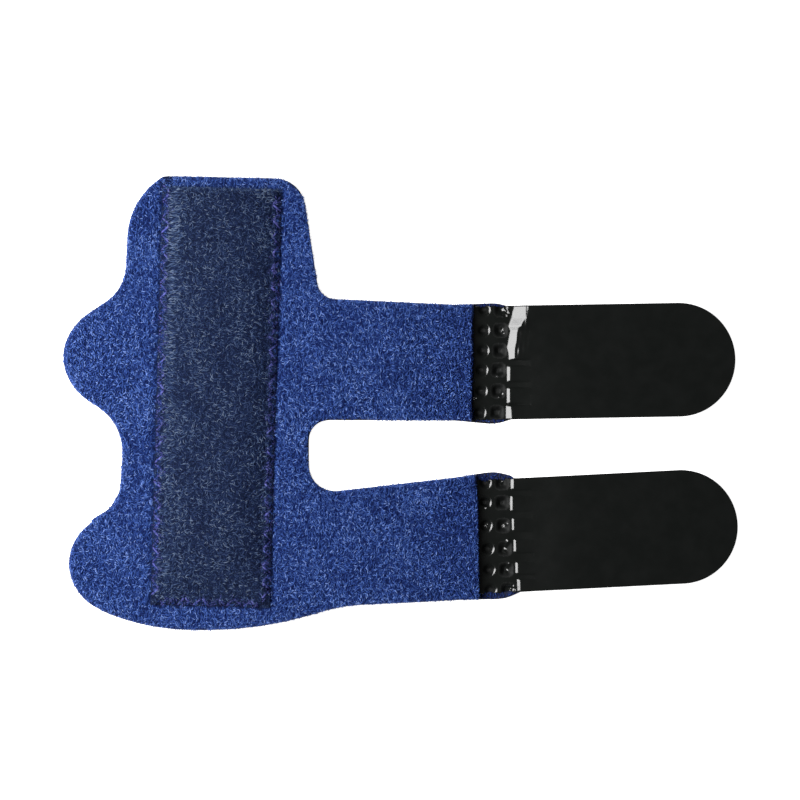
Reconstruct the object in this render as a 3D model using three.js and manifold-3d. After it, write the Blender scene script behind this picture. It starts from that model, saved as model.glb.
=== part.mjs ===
// Finger splint, lying open on a table with its pocket up.
// A soft panel wraps the finger: a foam backing under a brushed-loop facing. A sewn pocket for the
// flat stay runs along the panel, and two straps end in welded hook tabs.
// Millimetres. +X runs along the straps to the tabs, +Y along the finger, +Z up from the table.
// The panel is drawn from the slot wall (x = 0) and the panel's lowest rim (y = 0).

import * as THREE from "three";
import { mergeVertices } from "three/addons/utils/BufferGeometryUtils.js";
import Module from "manifold-3d";

const wasm = await Module();
wasm.setup();

// Panel
const panelHeight = 75.5;
const spineWidth = 30.85; // waist to slot wall
const backingThickness = 1.6;
const facingThickness = 1.0;
const edgeRound = 0.4;
const arcError = 0.04; // a round stretch's largest distance from its facets

// Straps and the slot between them
const strapWidth = 19.6;
const strapLength = 34.65; // slot wall to cut end
const slotWidth = 12.35; // at the slot wall
const slotRise = 28.9; // panel's lowest rim to the slot's middle
const slotUpperRadius = 3.3;
const slotLowerRadius = 4.3;
const armpitRadius = 3.0;
const armpitReach = 4.4; // slot wall to the armpit's centre
const strapBlendRadius = 25.0; // panel's heel into the lower strap's lower edge
const strapBlendReach = 9.8;
const strapEndRadius = 0.8;

// Hook tabs
const tabWidth = 19.0;
const tabLength = 43.7;
const tabThickness = 0.7;
const hookHeight = 0.9; // left free under the tab for its hooks
const tabCornerRadius = 0.4;

// Welds: the press squeezes strap and tab together and leaves a grid of pits
const overlap = 7.2; // tab over strap
const weldLength = 6.3;
const crushedBacking = 0.35;
const crushedFacing = 0.35;
const crushedTab = 0.5;
const crushRun = 2.2; // length over which the strap dives into the weld
const crushMargin = 0.5; // flat part of the crushed strap before the tab's square end
const riseRun = 2.4; // length over which the tab rises out of the weld
const weldSwell = 0.42; // strap's edge pushed out at each side
const swellRadius = 6.0;
const pitRadius = 1.25;
const pitFloorRadius = 0.8;
const pitDepth = 0.35;
const pitPitch = 3.5;
const pitColumns = 2;
const pitRows = 6;
const pitSides = 12;

// Stay pocket
const pocketWidth = 19.9;
const pocketLength = 69.6;
const pocketWall = 0.9;
const pocketRise = 1.3; // height of the hollow
const pocketTopMargin = 1.95; // panel's top edge to the pocket's mouth
const pocketLean = -1.65; // degrees, its top turned towards the straps
const seamMargin = 1.6; // sewn flat along both sides and the lower end
const endRun = 9.0; // length over which the hollow closes at the lower end

// Each strap: which side of the slot it lies on, its axis from +X in degrees, its width at the slot
// wall and at the weld and its reach as shares of the named sizes, the tab's turn from the strap's
// axis in degrees, and how far the pits' middle lies above that axis.
const straps = {
  upper: { side: 1, lean: -1.4, root: 1.03, tip: 0.985, reach: 1, turn: 2.35, pressRise: 0.3 },
  lower: { side: -1, lean: 4.8, root: 0.98, tip: 1.04, reach: 1.015, turn: -1.9, pressRise: -0.2 },
};

// Left edge from the top down: discs that the outline goes round. across is counted from the waist
// line and up from the lowest rim, all as shares of panelHeight. A hollow has a negative radius.
const leftEdge = [
  { name: "top corner", across: 0.09, up: 0.992, radius: 0.0106 },
  { name: "shoulder", across: 0.1715, up: 0.861, radius: 0.1638 },
  { name: "neck", across: -0.094, up: 0.808, radius: -0.0993 },
  { name: "upper lobe", across: -0.0139, up: 0.6026, radius: 0.1159 },
  { name: "waist", across: -0.1219, up: 0.3928, radius: -0.1192 },
  { name: "lower waist", across: -0.0739, up: 0.3179, radius: -0.0662 },
  { name: "lower lobe", across: 0.0035, up: 0.138, radius: 0.1238 },
  { name: "foot", across: -0.0096, up: 0.1465, radius: 0.1097 },
  { name: "heel", across: 0.1556, up: 0.5144, radius: 0.5144 },
  { name: "broad heel", across: 0.1843, up: 0.8057, radius: 0.8057 },
];

// Top right corner, as shares of panelHeight from the slot wall and the lowest rim
const topRight = { across: -0.0738, up: 0.931, radius: 0.0662 };

const stackHeight = backingThickness + facingThickness;
const crushedStrap = crushedBacking + crushedFacing;
const tabBase = hookHeight;
const clear = 2; // how far a cutter runs past what it cuts

function disc(x, y, radius) {
  return { centre: new THREE.Vector2(x, y), radius };
}

// Discs that would run into a neighbour of the other turn shrink until they clear it.
function relax(discs) {
  return discs.map((one, i) => {
    const others = [discs.at(i - 1), discs[(i + 1) % discs.length]];
    const crowding = others.filter((other) => other.radius * one.radius < 0);
    const shares = crowding.map(
      (other) =>
        one.centre.distanceTo(other.centre) / (Math.abs(one.radius) + Math.abs(other.radius)),
    );
    return { centre: one.centre, radius: one.radius * Math.min(1, ...shares) };
  });
}

// The outline is a taut belt round the discs, taken counter-clockwise: it bulges round a positive
// radius and is hollowed by a negative one. Between two discs it runs straight.
function beltOutline(tightDiscs) {
  const discs = relax(tightDiscs);
  const headings = discs.map((one, i) => {
    const next = discs[(i + 1) % discs.length];
    const span = next.centre.clone().sub(one.centre);
    const tilt = THREE.MathUtils.clamp((one.radius - next.radius) / span.length(), -1, 1);
    return span.angle() + Math.asin(tilt);
  });
  const points = [];
  discs.forEach(({ centre, radius }, i) => {
    const side = Math.sign(radius);
    const arriving = headings.at(i - 1);
    const turn = side * (THREE.MathUtils.euclideanModulo(
      side * (headings[i] - arriving) + 1, 2 * Math.PI) - 1);
    const step = 2 * Math.acos(1 - arcError / Math.max(Math.abs(radius), 2 * arcError));
    const steps = Math.max(1, Math.ceil(Math.abs(turn) / step));
    for (let k = 0; k <= steps; k++) {
      const heading = arriving + (turn * k) / steps;
      const outward = new THREE.Vector2(Math.sin(heading), -Math.cos(heading));
      points.push(centre.clone().addScaledVector(outward, radius));
    }
  });
  return points.filter((point, i) => point.distanceTo(points.at(i - 1)) > arcError);
}

// A strap's own frame: along its axis from the slot wall, across to its upper side
function strapFrame(strap) {
  const width = strapWidth * strap.root;
  const origin = new THREE.Vector2(0, slotRise + (strap.side * (slotWidth + width)) / 2);
  const angle = THREE.MathUtils.degToRad(strap.lean);
  return {
    origin,
    angle,
    length: strapLength * strap.reach,
    rootHalf: width / 2,
    tipHalf: (strapWidth * strap.tip) / 2,
    at(along, across) {
      return new THREE.Vector2(along, across).rotateAround(new THREE.Vector2(), angle).add(origin);
    },
    alongAt(x, across) {
      return (x + across * Math.sin(angle)) / Math.cos(angle);
    },
  };
}

function strapDisc(frame, along, across, radius) {
  const centre = frame.at(along, across);
  return disc(centre.x, centre.y, radius);
}

// A hollow at the strap's root: its centre lies x from the slot wall and its rim meets the strap's
// long edge on the given side.
function rootHollow(frame, side, x, radius) {
  const across = side * (frame.rootHalf + radius);
  return strapDisc(frame, frame.alongAt(x, across), across, -radius);
}

// One long edge of a strap from its waist before the weld to its cut end: side is 1 above, -1 below
function strapEdge(frame, side) {
  const weldStart = frame.length - overlap;
  const crest = frame.tipHalf + weldSwell - swellRadius;
  const corner = frame.tipHalf - strapEndRadius - weldSwell;
  return [
    strapDisc(frame, weldStart - crushRun - 1, side * (frame.tipHalf + swellRadius), -swellRadius),
    strapDisc(frame, weldStart + weldLength / 2, side * crest, swellRadius),
    strapDisc(frame, frame.length - strapEndRadius, side * corner, strapEndRadius),
  ];
}

function panelOutline() {
  const upper = strapFrame(straps.upper);
  const lower = strapFrame(straps.lower);
  const left = leftEdge.map((row) =>
    disc(row.across * panelHeight - spineWidth, row.up * panelHeight, row.radius * panelHeight),
  );
  return beltOutline([
    ...left,
    rootHollow(lower, -1, strapBlendReach, strapBlendRadius),
    ...strapEdge(lower, -1),
    ...strapEdge(lower, 1).reverse(),
    rootHollow(lower, 1, slotLowerRadius, slotLowerRadius),
    rootHollow(upper, -1, slotUpperRadius, slotUpperRadius),
    ...strapEdge(upper, -1),
    ...strapEdge(upper, 1).reverse(),
    rootHollow(upper, 1, armpitReach, armpitRadius),
    disc(topRight.across * panelHeight, topRight.up * panelHeight, topRight.radius * panelHeight),
  ]);
}

function solidOf(geometry) {
  geometry.deleteAttribute("normal");
  geometry.deleteAttribute("uv");
  const merged = mergeVertices(geometry, 1e-4);
  return new wasm.Manifold(
    new wasm.Mesh({
      numProp: 3,
      vertProperties: new Float32Array(merged.attributes.position.array),
      triVerts: new Uint32Array(merged.index.array),
    }),
  );
}

function meshOf(solid, name, material) {
  const { numProp, vertProperties, triVerts } = solid.getMesh();
  const geometry = new THREE.BufferGeometry();
  const buffer = new THREE.InterleavedBuffer(vertProperties, numProp);
  geometry.setAttribute("position", new THREE.InterleavedBufferAttribute(buffer, 3, 0));
  geometry.setIndex(new THREE.BufferAttribute(triVerts, 1));
  const faceted = geometry.toNonIndexed();
  faceted.computeVertexNormals();
  const mesh = new THREE.Mesh(faceted, material);
  mesh.name = name;
  return mesh;
}

// A prism of a side profile given as [along, height] pairs, as wide as asked and centred across,
// standing in a frame turned by angle about origin.
function sideProfile(profile, width, origin, angle) {
  const shape = new THREE.Shape(profile.map(([along, height]) => new THREE.Vector2(along, height)));
  const prism = new THREE.ExtrudeGeometry(shape, { depth: width, bevelEnabled: false });
  prism.translate(0, 0, -width / 2);
  prism.rotateX(Math.PI / 2);
  prism.rotateZ(angle);
  prism.translate(origin.x, origin.y, 0);
  return solidOf(prism);
}

// What lies above a strap's layer once the press has crushed it from height full to height crushed
function crushCutter(frame, full, crushed) {
  const flat = frame.length - overlap - crushMargin;
  const slope = (full - crushed) / crushRun;
  const profile = [
    [flat, crushed],
    [frame.length + clear, crushed],
    [frame.length + clear, full + clear],
    [flat - crushRun - clear / slope, full + clear],
  ];
  return sideProfile(profile, strapWidth + 2 * clear, frame.origin, frame.angle);
}

// Foam backing and brushed facing, cut from one stack along the plane where they are laminated
function panelLayers() {
  const shape = new THREE.Shape(panelOutline());
  const stack = new THREE.ExtrudeGeometry(shape, {
    depth: stackHeight - 2 * edgeRound,
    bevelThickness: edgeRound,
    bevelSize: edgeRound,
    bevelOffset: -edgeRound,
    bevelSegments: 2,
  });
  stack.translate(0, 0, edgeRound);
  const size = 2 * (panelHeight + spineWidth + strapLength);
  const slab = new THREE.BoxGeometry(size, size, backingThickness + clear);
  slab.translate(0, 0, (backingThickness - clear) / 2);
  let whole = solidOf(stack);
  let core = solidOf(slab);
  for (const strap of Object.values(straps)) {
    const frame = strapFrame(strap);
    whole = whole.subtract(crushCutter(frame, stackHeight, crushedStrap));
    core = core.subtract(crushCutter(frame, backingThickness, crushedBacking));
  }
  return { backing: whole.intersect(core), facing: whole.subtract(core) };
}

function pit(centre, floor) {
  const top = floor + pitDepth;
  const taper = (pitRadius - pitFloorRadius) / pitDepth;
  const height = pitDepth + clear;
  const cutter = new THREE.CylinderGeometry(
    pitRadius + taper * clear, pitFloorRadius, height, pitSides);
  cutter.rotateX(Math.PI / 2);
  cutter.translate(centre.x, centre.y, top + clear - height / 2);
  return solidOf(cutter);
}

// A hook tab: a strip with one round end, squeezed thin where it is welded on the strap
function hookTab(strap) {
  const frame = strapFrame(strap);
  const start = frame.length - overlap;
  const origin = frame.at(start, 0);
  const angle = frame.angle + THREE.MathUtils.degToRad(strap.turn);
  const half = tabWidth / 2;
  const inner = half - tabCornerRadius;
  const planform = beltOutline([
    disc(tabLength - half, 0, half),
    disc(tabCornerRadius, inner, tabCornerRadius),
    disc(tabCornerRadius, -inner, tabCornerRadius),
  ]);
  const weldTop = crushedStrap + crushedTab;
  const tabTop = tabBase + tabThickness;
  const strip = new THREE.ExtrudeGeometry(new THREE.Shape(planform), {
    depth: tabTop + clear,
    bevelEnabled: false,
  });
  strip.rotateZ(angle);
  strip.translate(origin.x, origin.y, 0);
  const profile = [
    [-clear, crushedStrap],
    [overlap + crushMargin, crushedStrap],
    [overlap + crushMargin + riseRun / 2, tabBase],
    [tabLength + clear, tabBase],
    [tabLength + clear, tabTop],
    [weldLength + riseRun, tabTop],
    [weldLength, weldTop],
    [-clear, weldTop],
  ];
  let tab = solidOf(strip).intersect(sideProfile(profile, tabWidth + clear, origin, angle));
  for (let column = 0; column < pitColumns; column++) {
    for (let row = 0; row < pitRows; row++) {
      const along = start + weldLength / 2 + (column - (pitColumns - 1) / 2) * pitPitch;
      const across = strap.pressRise + (row - (pitRows - 1) / 2) * pitPitch;
      tab = tab.subtract(pit(frame.at(along, across), weldTop - pitDepth));
    }
  }
  return tab;
}

// The pocket is a sheet sewn flat on both sides and at its lower end and arched between, so that a
// flat hollow is left under it. Its mouth is the upper end.
function stayPocket() {
  const columns = 14;
  const rows = 24;
  const innerHalf = pocketWidth / 2 - seamMargin;
  const hollow = (across, along) => {
    const side = 1 - Math.min(1, Math.abs(across) / innerHalf) ** 3;
    const end = THREE.MathUtils.smoothstep(along, seamMargin, seamMargin + endRun);
    return pocketRise * side * end;
  };
  const positions = [];
  const triangles = [];
  const vertex = (layer, column, row) => (layer * (rows + 1) + row) * (columns + 1) + column;
  const quad = (a, b, c, d) => triangles.push(a, b, c, a, c, d);
  for (const layer of [0, 1]) {
    for (let row = 0; row <= rows; row++) {
      for (let column = 0; column <= columns; column++) {
        const across = (column / columns - 0.5) * pocketWidth;
        const along = (row / rows) * pocketLength;
        positions.push(across, along, hollow(across, along) + layer * pocketWall);
      }
    }
  }
  for (let row = 0; row < rows; row++) {
    for (let column = 0; column < columns; column++) {
      const corner = (layer, right, up) => vertex(layer, column + right, row + up);
      quad(corner(1, 0, 0), corner(1, 1, 0), corner(1, 1, 1), corner(1, 0, 1));
      quad(corner(0, 0, 0), corner(0, 0, 1), corner(0, 1, 1), corner(0, 1, 0));
    }
    quad(vertex(0, 0, row), vertex(1, 0, row), vertex(1, 0, row + 1), vertex(0, 0, row + 1));
    quad(
      vertex(0, columns, row + 1), vertex(1, columns, row + 1),
      vertex(1, columns, row), vertex(0, columns, row));
  }
  for (let column = 0; column < columns; column++) {
    quad(
      vertex(0, column, 0), vertex(0, column + 1, 0),
      vertex(1, column + 1, 0), vertex(1, column, 0));
    quad(
      vertex(0, column + 1, rows), vertex(0, column, rows),
      vertex(1, column, rows), vertex(1, column + 1, rows));
  }
  const sheet = new THREE.BufferGeometry();
  sheet.setAttribute("position", new THREE.Float32BufferAttribute(positions, 3));
  sheet.setIndex(triangles);
  sheet.translate(0, -pocketLength / 2, 0);
  sheet.rotateZ(THREE.MathUtils.degToRad(pocketLean));
  const middle = panelHeight - pocketTopMargin - pocketLength / 2;
  sheet.translate(-spineWidth / 2, middle, stackHeight);
  return solidOf(sheet);
}

const foam = new THREE.MeshStandardMaterial({ color: "#17181c", roughness: 0.95, metalness: 0 });
const blueLoop = new THREE.MeshStandardMaterial({ color: "#344f8c", roughness: 1, metalness: 0 });
const navyLoop = new THREE.MeshStandardMaterial({ color: "#283654", roughness: 1, metalness: 0 });
const blackHook = new THREE.MeshStandardMaterial({ color: "#181918", roughness: 0.3, metalness: 0 });

const splint = new THREE.Group();
const { backing, facing } = panelLayers();
splint.add(
  meshOf(backing, "body_backing", foam),
  meshOf(facing, "body_facing", blueLoop),
  meshOf(stayPocket(), "stay_pocket", navyLoop),
  meshOf(hookTab(straps.upper), "upper_hook_tab", blackHook),
  meshOf(hookTab(straps.lower), "lower_hook_tab", blackHook),
);

// The part's frame has its origin under the middle of its bounds.
const middle = new THREE.Box3().setFromObject(splint).getCenter(new THREE.Vector3());
splint.position.set(-middle.x, -middle.y, 0);

export default splint;
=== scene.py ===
"""Looks of the finger splint: brushed panel, sewn pocket, welded hook tabs.

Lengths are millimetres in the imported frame's axes until a mesh is made in metres.
"""

import math

import bpy
import numpy as np
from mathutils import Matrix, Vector
from mathutils.geometry import delaunay_2d_cdt

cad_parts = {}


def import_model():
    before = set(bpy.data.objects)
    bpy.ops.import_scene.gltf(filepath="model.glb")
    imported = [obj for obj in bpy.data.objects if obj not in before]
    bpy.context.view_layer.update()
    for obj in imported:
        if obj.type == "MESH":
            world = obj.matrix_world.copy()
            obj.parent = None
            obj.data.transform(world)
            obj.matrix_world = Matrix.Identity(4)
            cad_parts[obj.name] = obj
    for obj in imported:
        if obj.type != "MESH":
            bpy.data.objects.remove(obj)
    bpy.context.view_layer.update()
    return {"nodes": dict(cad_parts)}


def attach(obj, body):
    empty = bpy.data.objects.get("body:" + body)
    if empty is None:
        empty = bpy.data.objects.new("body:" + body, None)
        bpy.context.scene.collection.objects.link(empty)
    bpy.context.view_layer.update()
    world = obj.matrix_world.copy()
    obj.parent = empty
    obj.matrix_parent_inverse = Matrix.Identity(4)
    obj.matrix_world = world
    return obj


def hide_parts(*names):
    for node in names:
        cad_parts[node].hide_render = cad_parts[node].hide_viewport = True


MM = 0.001

# The photograph: 6 pixels to a millimetre, seen from straight above
PIXELS_PER_MM = 6.0
FRAME_X_PX = 401.4
FRAME_Y_PX = 403.0
PICTURE_PX = 800

# Layers of the panel
UNDERSIDE_INSET = 0.4
OUTLINE_STEP = 0.35
FIELD_STEP = 0.25
COARSE_STEP = 0.6
FIELD_MARGIN = 2.0
BACKING_TOP = 1.6
GROUND = 2.2
UNDER_POCKET = 2.4
EDGE_ROLL = 0.8
EDGE_DROP = 0.45
SEAM_DIP = 0.22
CRUSHED_GROUND = 0.68
UNDER_TAB = 0.26
CRUSHED_BACKING = 0.2
CRUSH_START = -0.4
CRUSH_END = 0.02
STRAP_REACH = 11.5

# Stay pocket
POCKET_CENTRE = (-30.87, 0.902)
POCKET_LEAN = math.radians(-1.65)
POCKET_HALF_WIDTH = 9.95
POCKET_HALF_LENGTH = 34.8
POCKET_RISE = 1.3
POCKET_SEAM_TOP = 2.68
POCKET_SEAM_RUN = 1.3
POCKET_SEAM_RISE = 0.38
POCKET_WALL = 0.45
ARCH_HALF = 8.35
ARCH_START = 1.6
ARCH_RUN = 9.0

# Nap that the press foot has combed sideways along the left seam; its lighter tone is painted light on the
# arch's left slope, which faces the key light
COMBED_AT = 7.9
COMBED_DOWN_TO = (-4, 16)
COMBED_LEFT_BELOW = 0.4

# Zigzag seam
STITCH_LEG = 1.37
STITCH_INNER = 1.4
THREAD_RADIUS = 0.15
EXTRA_LEGS = 1
FUZZ_PER_LEG = 46
FUZZ_HOLE = 0.52
# Dark strands bunched at each rim hole, painted shade in the needle holes: count, spread and material
HOLE_FIBRES = 8
HOLE_SPREAD = 0.2
HOLE_PAINTED_SHADE = 4
NAP_RISE = 0.15
# Shares of four blues, two navies and the thread's own colour in the fuzz; the left seam's outer mix leans
# to the dark blues as painted shade in the groove beside the pocket
FUZZ_LEFT_SHADED = (0.36, 0.27, 0.08, 0.02, 0.14, 0.0, 0.13)
FUZZ_OUTER = (0.18, 0.26, 0.12, 0.02, 0.13, 0.09, 0.2)
FUZZ_INNER = (0.11, 0.04, 0.02, 0.0, 0.3, 0.23, 0.3)

# Hook tabs
TAB_HALF = 9.5
TAB_LENGTH = 43.7
TAB_CORNER = 0.4
TAB_TOP = 1.6
TAB_UNDERSIDE = 0.9
WELD_TOP = 1.0
WELD_UNDERSIDE = 0.3
PIT_PITCH = 3.5
PIT_LIT_RIM = 1.12
PIT_SPACING = 2.95
PIT_POWERS = (1.9, 3.2)
MATT_SHADED_REACH = (0.88, 1.3)
WELD_STEP = 0.15
WELD_MESHED = 9.4


class Strap:
    """One strap's place in the frame, and its tab's."""

    def __init__(self, name, origin, lean, length, turn):
        self.name = name
        self.origin = np.array(origin)
        self.angle = math.radians(lean)
        self.tab_start = length - 7.2
        self.tab_angle = math.radians(lean + turn)

    def place(self, points):
        """(along, across) of points, from the slot wall."""
        return turned(points - self.origin, -self.angle)

    def tab_place(self, points):
        """(along, across) of points, from the tab's welded end."""
        return turned(points - self.tab_origin(), -self.tab_angle)

    def tab_origin(self):
        return self.origin + turned(np.array([[self.tab_start, 0.0]]), self.angle)[0]

    def from_tab(self, local):
        return turned(local, self.tab_angle) + self.tab_origin()


def turned(points, angle):
    """Points turned about the origin."""
    cosine, sine = math.cos(angle), math.sin(angle)
    x, y = points[:, 0], points[:, 1]
    return np.stack([x * cosine - y * sine, x * sine + y * cosine], 1)


STRAPS = (
    Strap("upper", (-15.445, 7.321), -1.4, 34.65, 2.35),
    Strap("lower", (-15.445, -24.727), 4.8, 35.17, -1.9),
)


def photo(x_px, y_px):
    """The frame's place under a pixel of the photograph."""
    return np.array([(x_px - FRAME_X_PX) / PIXELS_PER_MM, (FRAME_Y_PX - y_px) / PIXELS_PER_MM])


def pixels(points):
    """The photograph's pixels, x and y, over places in the frame."""
    return FRAME_X_PX + PIXELS_PER_MM * points[:, 0], FRAME_Y_PX - PIXELS_PER_MM * points[:, 1]


def gaps_to(place, points):
    return np.linalg.norm(points - place, axis=1)


def smooth(low, high, value):
    share = np.clip((value - low) / (high - low), 0, 1)
    return share * share * (3 - 2 * share)


def bell(distance, width):
    return np.exp(-((distance / width) ** 2))


WAVE_SPREAD = (0.7, 1.6)


def waves(points, height, length, seed, count=10):
    """A soft random relief over the plane with bumps about length long."""
    rng = np.random.default_rng(seed)
    angle = rng.uniform(0, math.tau, count)
    pace = math.tau / (length * rng.uniform(*WAVE_SPREAD, count))
    phase = rng.uniform(0, math.tau, count)
    along = points[:, :1] * np.cos(angle) + points[:, 1:2] * np.sin(angle)
    return height * (np.cos(along * pace + phase).sum(1) / math.sqrt(count / 2))


# Outlines

LOWEST = 1e-6
KEYS_PER_METRE = 1e6


def underside_rim(node):
    """Corners of a node's flat underside in order, in millimetres."""
    corners = {}
    edges = {}
    for face in node.data.polygons:
        places = [node.data.vertices[i].co for i in face.vertices]
        if max(p.z for p in places) > LOWEST:
            continue
        keys = [(round(p.x * KEYS_PER_METRE), round(p.y * KEYS_PER_METRE)) for p in places]
        for key, place in zip(keys, places):
            corners[key] = (place.x / MM, place.y / MM)
        for a, b in zip(keys, keys[1:] + keys[:1]):
            if (b, a) in edges:
                del edges[(b, a)]
            else:
                edges[(a, b)] = True
    following = dict(edges.keys())
    first = next(iter(following))
    rim = [first]
    while following[rim[-1]] != first:
        rim.append(following[rim[-1]])
    loop = np.array([corners[key] for key in rim])
    return loop if loop_area(loop) > 0 else loop[::-1]


def loop_area(loop):
    x, y = loop[:, 0], loop[:, 1]
    return 0.5 * float((x * np.roll(y, -1) - np.roll(x, -1) * y).sum())


def outward(loop):
    """Unit normals out of a loop that runs anticlockwise."""
    leg = np.roll(loop, -1, axis=0) - loop
    leg /= np.linalg.norm(leg, axis=1, keepdims=True)
    turn = leg + np.roll(leg, 1, axis=0)
    turn /= np.linalg.norm(turn, axis=1, keepdims=True)
    return np.stack([turn[:, 1], -turn[:, 0]], 1)


def resampled(loop, step):
    closed = np.vstack([loop, loop[:1]])
    travel = np.r_[0, np.cumsum(np.linalg.norm(np.diff(closed, axis=0), axis=1))]
    count = round(travel[-1] / step)
    wanted = np.linspace(0, travel[-1], count, endpoint=False)
    return np.stack([np.interp(wanted, travel, closed[:, i]) for i in (0, 1)], 1)


def depth_in(points, loop, block_size=1500):
    """Distance from each point to a closed loop, positive inside it."""
    leg = np.roll(loop, -1, axis=0) - loop
    size = (leg**2).sum(1)
    depth = np.empty(len(points))
    for first in range(0, len(points), block_size):
        block = points[first : first + block_size, None] - loop
        share = np.clip((block * leg).sum(2) / size, 0, 1)
        gap = block - share[..., None] * leg
        nearest = np.sqrt((gap**2).sum(2).min(1))
        spans = (block[..., 1] < 0) != (block[..., 1] < leg[:, 1])
        side = block[..., 0] * leg[:, 1] - block[..., 1] * leg[:, 0]
        crossings = (spans & ((side < 0) == (leg[:, 1] > 0))).sum(1)
        depth[first : first + block_size] = np.where(crossings % 2, nearest, -nearest)
    return depth


class Field:
    """A function of the plane kept on a square grid and read between its points."""

    def __init__(self, low, high, values):
        self.low = np.array(low)
        count = np.ceil((np.array(high) - self.low) / FIELD_STEP).astype(int) + 1
        x = self.low[0] + FIELD_STEP * np.arange(count[0])
        y = self.low[1] + FIELD_STEP * np.arange(count[1])
        grid = np.stack(np.meshgrid(x, y, indexing="ij"), 2)
        self.values = values(grid.reshape(-1, 2)).reshape(count)

    def __call__(self, points):
        place = (points - self.low) / FIELD_STEP
        last = np.array(self.values.shape) - 2
        cell = np.clip(np.floor(place).astype(int), 0, last)
        share = np.clip(place - cell, 0, 1)
        i, j = cell[:, 0], cell[:, 1]
        a, b = share[:, 0], share[:, 1]
        near = self.values[i, j] * (1 - b) + self.values[i, j + 1] * b
        far = self.values[i + 1, j] * (1 - b) + self.values[i + 1, j + 1] * b
        return near * (1 - a) + far * a


def grid_points(low, high, step):
    x = np.arange(low[0], high[0] + step / 2, step)
    y = np.arange(low[1], high[1] + step / 2, step)
    return np.stack(np.meshgrid(x, y, indexing="ij"), 2).reshape(-1, 2)


def scattered(low, high, step, rng):
    """Points spread evenly but not in rows: one in each square of a grid."""
    points = grid_points(low, high, step)
    return points + rng.uniform(-step / 2, step / 2, points.shape)


# Meshes

FILL_INSIDE = 1
MERGED_WITHIN = 1e-6
SMALLEST_AREA = 1e-9
SHARP_LAYER = math.radians(50)
SHARP_POCKET = math.radians(55)
SHORTEST = 1e-9
FLATTEST = 1e-6
RING_TURN = 0.25
CURL_POINTS = 4


def triangle_mesh(name, vertices, triangles, materials, index=None):
    """A smooth-shaded mesh object from vertices in millimetres."""
    mesh = bpy.data.meshes.new(name)
    mesh.vertices.add(len(vertices))
    mesh.vertices.foreach_set("co", (np.asarray(vertices) * MM).astype(np.float32).ravel())
    mesh.loops.add(3 * len(triangles))
    mesh.loops.foreach_set("vertex_index", np.asarray(triangles, np.int32).ravel())
    mesh.polygons.add(len(triangles))
    mesh.polygons.foreach_set("loop_start", np.arange(0, 3 * len(triangles), 3, dtype=np.int32))
    for material in materials:
        mesh.materials.append(material)
    if index is not None:
        mesh.polygons.foreach_set("material_index", np.asarray(index, np.int32))
    mesh.update(calc_edges=True)
    mesh.shade_smooth()
    piece = bpy.data.objects.new(name, mesh)
    bpy.context.scene.collection.objects.link(piece)
    return piece


def triangulated(loop, inner):
    """Points and anticlockwise triangles that fill a loop; the loop's points come first."""
    count = len(loop)
    given = [Vector(p) for p in np.vstack([loop, inner])]
    rim = [(i, (i + 1) % count) for i in range(count)]
    points, _, faces, origins, _, _ = delaunay_2d_cdt(given, rim, [], FILL_INSIDE, MERGED_WITHIN)
    order = sorted(range(len(points)), key=lambda i: min(origins[i], default=len(given)))
    rank = {old: new for new, old in enumerate(order)}
    flat = np.array([points[i] for i in order])
    triangles = np.array([[rank[i] for i in face] for face in faces])
    a, b, c = (flat[triangles[:, k]] for k in range(3))
    area = (b[:, 0] - a[:, 0]) * (c[:, 1] - a[:, 1]) - (b[:, 1] - a[:, 1]) * (c[:, 0] - a[:, 0])
    flipped = area < 0
    triangles[flipped] = triangles[flipped][:, ::-1]
    return flat, triangles[np.abs(area) > SMALLEST_AREA]


def layer_mesh(name, loop, upper, lower, top, bottom, materials):
    """A closed layer: top and bottom are its heights as functions of the plane."""
    count = len(loop)
    upper_flat, upper_faces = triangulated(loop, upper)
    lower_flat, lower_faces = triangulated(loop, lower)
    shift = len(upper_flat)
    above = np.column_stack([upper_flat, top(upper_flat)])
    below = np.column_stack([lower_flat, bottom(lower_flat)])
    vertices = np.vstack([above, below])
    triangles = np.vstack([upper_faces, lower_faces[:, ::-1] + shift, rim_wall(np.arange(count), shift)])
    piece = triangle_mesh(name, vertices, triangles, materials)
    piece.data.set_sharp_from_angle(angle=SHARP_LAYER)
    return piece


def rim_wall(rim, shift):
    """Triangles between a rim of points and the one that lies shift places on."""
    after = np.roll(rim, -1)
    outer = np.stack([rim + shift, after + shift, after], 1)
    return np.vstack([outer, np.stack([rim + shift, after, rim], 1)])


def face_middles(mesh):
    """The middle of each face in the plane, in millimetres."""
    middles = np.empty(3 * len(mesh.polygons))
    mesh.polygons.foreach_get("center", middles)
    return middles.reshape(-1, 3)[:, :2] / MM


def strand_mesh(name, paths, radii, sides, materials, index=None):
    """Closed strands along paths (strand, point, xyz), pointed at both ends."""
    count, points, _ = paths.shape
    inner = points - 2
    along = paths[:, 2:] - paths[:, :-2]
    along /= np.maximum(np.linalg.norm(along, axis=2, keepdims=True), SHORTEST)
    across = np.cross(along, [0.0, 0.0, 1.0])
    across /= np.maximum(np.linalg.norm(across, axis=2, keepdims=True), FLATTEST)
    raised = np.cross(across, along)
    angle = math.tau * (np.arange(sides) + RING_TURN) / sides
    ring = across[:, :, None] * np.cos(angle)[:, None] + raised[:, :, None] * np.sin(angle)[:, None]
    radii = np.broadcast_to(radii, (count, inner))
    rings = paths[:, 1:-1, None] + ring * radii[:, :, None, None]
    body = rings.reshape(count, inner * sides, 3)
    vertices = np.concatenate([paths[:, :1], body, paths[:, -1:]], 1)
    faces = strand_faces(inner, sides)
    shift = np.arange(count)[:, None, None] * vertices.shape[1]
    triangles = (faces[None] + shift).reshape(-1, 3)
    if index is not None:
        index = np.repeat(index, len(faces))
    return triangle_mesh(name, vertices.reshape(-1, 3), triangles, materials, index)


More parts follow.
